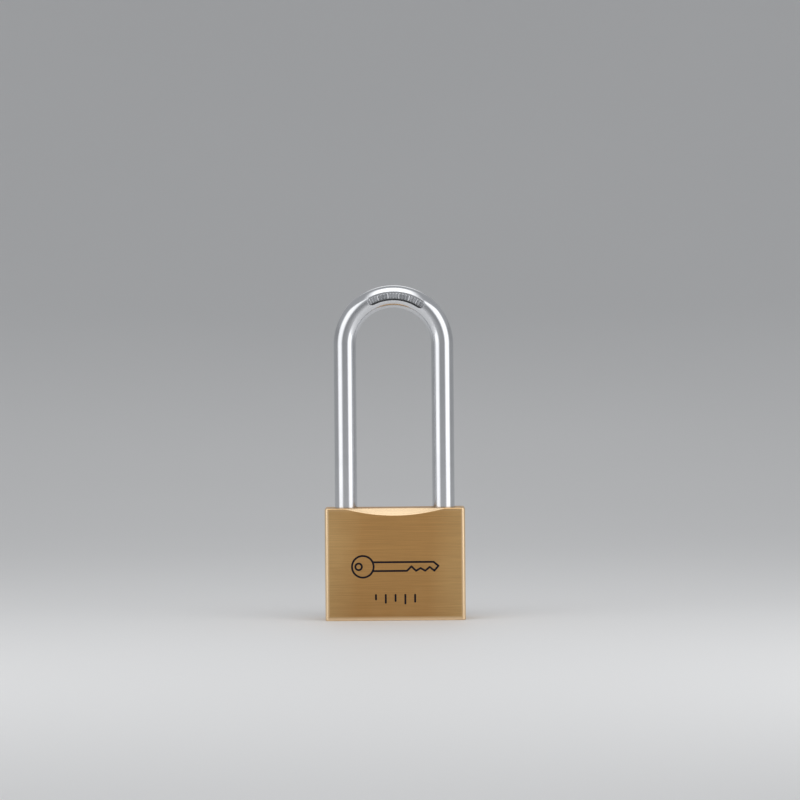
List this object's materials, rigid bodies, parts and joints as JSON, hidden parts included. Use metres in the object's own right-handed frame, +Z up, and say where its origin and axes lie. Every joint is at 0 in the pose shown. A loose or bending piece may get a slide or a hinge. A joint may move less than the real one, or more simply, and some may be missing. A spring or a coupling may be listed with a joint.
{
  "type": "padlock",
  "caption": "Solid brass padlock with a long round chromed shackle, a turning keyed plug in the base, pin stacks and two latches that hold both legs.",
  "frame": {"origin": "middle of the body's base, on the surface that the padlock stands on", "axes": "+Z up along the shackle's legs, +X towards the short (toe) leg, -Y out of the engraved front"},
  "size_m": [0.04, 0.0144, 0.0958],
  "materials": {
    "brushed_brass": "fine brushed, horizontal grain, dark filled engraving",
    "chromed_steel": "polished chrome over hardened steel",
    "plug_brass": "turned",
    "pin_brass": "turned, filed flush where it meets an outer face",
    "driver_steel": "nickel plated",
    "latch_steel": "machined",
    "cam_steel": "machined",
    "spring_steel": "drawn wire"
  },
  "bodies": {
    "lock_body": {"lock_body": "brushed_brass", "plug_retaining_pin": "pin_brass", "shackle_stop_pin": "pin_brass", "latch_channel_filler": "pin_brass", "pin_chamber_fillers": "pin_brass", "latch_spring": "spring_steel", "shackle_spring": "spring_steel", "pin_spring_1": "spring_steel", "pin_spring_2": "spring_steel", "pin_spring_3": "spring_steel", "pin_spring_4": "spring_steel", "pin_spring_5": "spring_steel"},
    "shackle": {"shackle": "chromed_steel"},
    "plug": {"plug": "plug_brass", "plug_cam": "cam_steel"},
    "latch_toe": {"latch_toe": "latch_steel"},
    "latch_heel": {"latch_heel": "latch_steel"},
    "key_pin_1": {"key_pin_1": "pin_brass"},
    "driver_pin_1": {"driver_pin_1": "driver_steel"},
    "key_pin_2": {"key_pin_2": "pin_brass"},
    "driver_pin_2": {"driver_pin_2": "driver_steel"},
    "key_pin_3": {"key_pin_3": "pin_brass"},
    "driver_pin_3": {"driver_pin_3": "driver_steel"},
    "key_pin_4": {"key_pin_4": "pin_brass"},
    "driver_pin_4": {"driver_pin_4": "driver_steel"},
    "key_pin_5": {"key_pin_5": "pin_brass"},
    "driver_pin_5": {"driver_pin_5": "driver_steel"}
  },
  "joints": [
    {"name": "shackle_lift", "type": "slide", "parent": "lock_body", "child": "shackle", "axis": [0, 0, 1], "range_m": [0, 0.012], "deforming": ["shackle_spring"]},
    {"name": "plug_turn", "type": "hinge", "parent": "lock_body", "child": "plug", "pos_m": [0, 0, 0.01], "axis": [0, 0, 1], "range_deg": [-90, 0]},
    {"name": "latch_toe_slide", "type": "slide", "parent": "lock_body", "child": "latch_toe", "axis": [1, 0, 0], "range_m": [0, 0.0015], "deforming": ["latch_spring"]},
    {"name": "latch_heel_slide", "type": "slide", "parent": "lock_body", "child": "latch_heel", "axis": [-1, 0, 0], "range_m": [0, 0.0015]},
    {"name": "key_pin_1_drop", "type": "slide", "parent": "plug", "child": "key_pin_1", "axis": [0, 1, 0], "range_m": [-0.0024, 0]},
    {"name": "key_pin_2_drop", "type": "slide", "parent": "plug", "child": "key_pin_2", "axis": [0, 1, 0], "range_m": [-0.0012, 0]},
    {"name": "key_pin_3_drop", "type": "slide", "parent": "plug", "child": "key_pin_3", "axis": [0, 1, 0], "range_m": [-0.0018, 0]},
    {"name": "key_pin_4_drop", "type": "slide", "parent": "plug", "child": "key_pin_4", "axis": [0, 1, 0], "range_m": [-0.0009, 0]},
    {"name": "key_pin_5_drop", "type": "slide", "parent": "plug", "child": "key_pin_5", "axis": [0, 1, 0], "range_m": [-0.0015, 0]},
    {"name": "driver_pin_1_push", "type": "slide", "parent": "lock_body", "child": "driver_pin_1", "axis": [1, 0, 0], "range_m": [0, 0.0015], "stiffness_N_per_m": 100, "springref_m": -0.002, "deforming": ["pin_spring_1"]},
    {"name": "driver_pin_2_push", "type": "slide", "parent": "lock_body", "child": "driver_pin_2", "axis": [1, 0, 0], "range_m": [0, 0.0015], "stiffness_N_per_m": 100, "springref_m": -0.002, "deforming": ["pin_spring_2"]},
    {"name": "driver_pin_3_push", "type": "slide", "parent": "lock_body", "child": "driver_pin_3", "axis": [1, 0, 0], "range_m": [0, 0.0015], "stiffness_N_per_m": 100, "springref_m": -0.002, "deforming": ["pin_spring_3"]},
    {"name": "driver_pin_4_push", "type": "slide", "parent": "lock_body", "child": "driver_pin_4", "axis": [1, 0, 0], "range_m": [0, 0.0015], "stiffness_N_per_m": 100, "springref_m": -0.002, "deforming": ["pin_spring_4"]},
    {"name": "driver_pin_5_push", "type": "slide", "parent": "lock_body", "child": "driver_pin_5", "axis": [1, 0, 0], "range_m": [0, 0.0015], "stiffness_N_per_m": 100, "springref_m": -0.002, "deforming": ["pin_spring_5"]}
  ],
  "couplings": [
    {"joint": "latch_toe_slide", "follows": "plug_turn", "m_per_rad": -0.00095492},
    {"joint": "latch_heel_slide", "follows": "plug_turn", "m_per_rad": -0.00095492},
    {"joint": "key_pin_2_drop", "follows": "key_pin_1_drop", "ratio": 0.5},
    {"joint": "key_pin_3_drop", "follows": "key_pin_1_drop", "ratio": 0.75},
    {"joint": "key_pin_4_drop", "follows": "key_pin_1_drop", "ratio": 0.375},
    {"joint": "key_pin_5_drop", "follows": "key_pin_1_drop", "ratio": 0.625},
    {"joint": "driver_pin_2_push", "follows": "driver_pin_1_push", "ratio": 1},
    {"joint": "driver_pin_3_push", "follows": "driver_pin_1_push", "ratio": 1},
    {"joint": "driver_pin_4_push", "follows": "driver_pin_1_push", "ratio": 1},
    {"joint": "driver_pin_5_push", "follows": "driver_pin_1_push", "ratio": 1}
  ]
}
